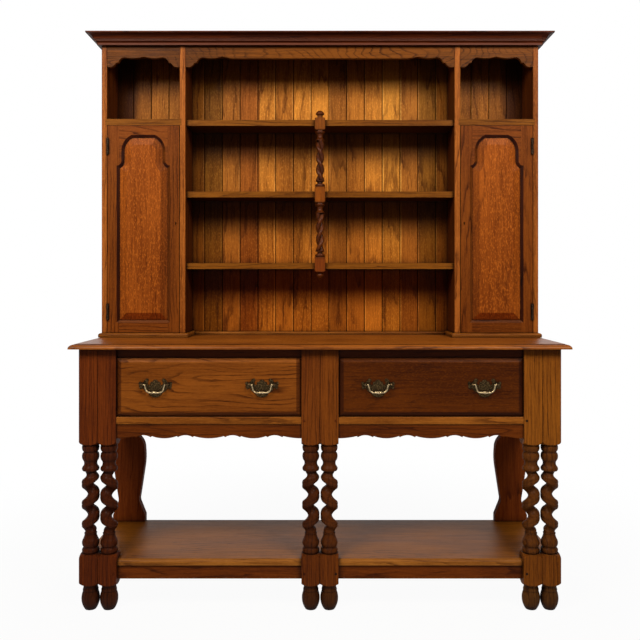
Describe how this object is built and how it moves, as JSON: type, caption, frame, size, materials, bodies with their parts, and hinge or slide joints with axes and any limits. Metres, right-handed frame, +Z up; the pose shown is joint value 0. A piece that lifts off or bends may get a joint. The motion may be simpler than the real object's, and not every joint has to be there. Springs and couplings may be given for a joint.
{
  "type": "welsh dresser",
  "caption": "Oak dresser: open plate rack with shaped frieze, flanking arched-door cupboards, drawers with bail handles, and a potboard base on twist-turned legs.",
  "frame": {"origin": "on the floor, under the middle of the bounding box", "axes": "+Z up, +X to the right seen from the front, +Y from front to back"},
  "size_m": [1.636, 0.48, 1.9214],
  "materials": {
    "oak": "waxed",
    "oak_turned": "waxed",
    "oak_door": "waxed",
    "oak_light": "waxed",
    "oak_red": "waxed",
    "oak_board": "waxed",
    "oak_raw": "unfinished",
    "plate_brass": "antiqued",
    "bail_brass": "polished",
    "iron": "dark"
  },
  "bodies": {
    "carcass": {"apron_left": "oak", "apron_right": "oak", "back_bead": "oak", "back_boards": "oak_board", "base_panels": "oak_board", "cornice_front": "oak", "cornice_returns": "oak", "cupboard_boards": "oak_board", "drawer_rails": "oak", "drawer_runners": "oak_raw", "frieze_centre": "oak", "frieze_left": "oak", "frieze_right": "oak", "front_leg_centre_left": "oak_turned", "front_leg_centre_right": "oak_turned", "front_leg_left_inner": "oak_turned", "front_leg_left_outer": "oak_turned", "front_leg_right_inner": "oak_turned", "front_leg_right_outer": "oak_turned", "hinge_frame_leaves": "iron", "plinth_mouldings": "oak", "potboard": "oak", "potboard_rails": "oak", "rack_partition_left": "oak", "rack_partition_right": "oak", "rack_side_left": "oak", "rack_side_right": "oak", "rack_top": "oak", "rail_pegs": "oak_turned", "rear_leg_left": "oak_turned", "rear_leg_right": "oak_turned", "shelf_baluster": "oak_turned", "shelf_lower": "oak", "shelf_middle": "oak", "shelf_upper": "oak", "worktop": "oak"},
    "door_left": {"door_left_hinge_leaves": "iron", "door_left_lock": "iron", "door_left_panel": "oak_door", "door_left_rails": "oak_door", "door_left_stiles": "oak_door"},
    "door_left_bolt": {"door_left_lock_bolt": "iron"},
    "drawer_left": {"drawer_left_box": "oak_raw", "drawer_left_front": "oak_light", "drawer_left_handle_plates": "plate_brass", "drawer_left_handle_posts": "plate_brass"},
    "drawer_left_bail_outer": {"drawer_left_bail_outer": "bail_brass"},
    "drawer_left_bail_inner": {"drawer_left_bail_inner": "bail_brass"},
    "door_right": {"door_right_hinge_leaves": "iron", "door_right_lock": "iron", "door_right_panel": "oak_door", "door_right_rails": "oak_door", "door_right_stiles": "oak_door"},
    "door_right_bolt": {"door_right_lock_bolt": "iron"},
    "drawer_right": {"drawer_right_box": "oak_raw", "drawer_right_front": "oak_red", "drawer_right_handle_plates": "plate_brass", "drawer_right_handle_posts": "plate_brass"},
    "drawer_right_bail_outer": {"drawer_right_bail_outer": "bail_brass"},
    "drawer_right_bail_inner": {"drawer_right_bail_inner": "bail_brass"}
  },
  "joints": [
    {"name": "door_left_hinge", "type": "hinge", "parent": "carcass", "child": "door_left", "pos_m": [-0.7505, 0.0692, 1.2332], "axis": [0, 0, -1], "range_deg": [0, 165]},
    {"name": "door_left_bolt_slide", "type": "slide", "parent": "door_left", "child": "door_left_bolt", "axis": [1, 0, 0], "range_m": [0, 0.008]},
    {"name": "drawer_left_slide", "type": "slide", "parent": "carcass", "child": "drawer_left", "axis": [0, -1, 0], "range_m": [0, 0.3]},
    {"name": "drawer_left_bail_outer_pivot", "type": "hinge", "parent": "drawer_left", "child": "drawer_left_bail_outer", "pos_m": [-0.522, -0.2281, 0.722], "axis": [-1, 0, 0], "range_deg": [0, 90]},
    {"name": "drawer_left_bail_inner_pivot", "type": "hinge", "parent": "drawer_left", "child": "drawer_left_bail_inner", "pos_m": [-0.184, -0.2281, 0.722], "axis": [-1, 0, 0], "range_deg": [0, 90]},
    {"name": "door_right_hinge", "type": "hinge", "parent": "carcass", "child": "door_right", "pos_m": [0.7505, 0.0692, 1.2332], "axis": [0, 0, 1], "range_deg": [0, 165]},
    {"name": "door_right_bolt_slide", "type": "slide", "parent": "door_right", "child": "door_right_bolt", "axis": [-1, 0, 0], "range_m": [0, 0.008]},
    {"name": "drawer_right_slide", "type": "slide", "parent": "carcass", "child": "drawer_right", "axis": [0, -1, 0], "range_m": [0, 0.3]},
    {"name": "drawer_right_bail_outer_pivot", "type": "hinge", "parent": "drawer_right", "child": "drawer_right_bail_outer", "pos_m": [0.522, -0.2281, 0.722], "axis": [-1, 0, 0], "range_deg": [0, 90]},
    {"name": "drawer_right_bail_inner_pivot", "type": "hinge", "parent": "drawer_right", "child": "drawer_right_bail_inner", "pos_m": [0.184, -0.2281, 0.722], "axis": [-1, 0, 0], "range_deg": [0, 90]}
  ]
}
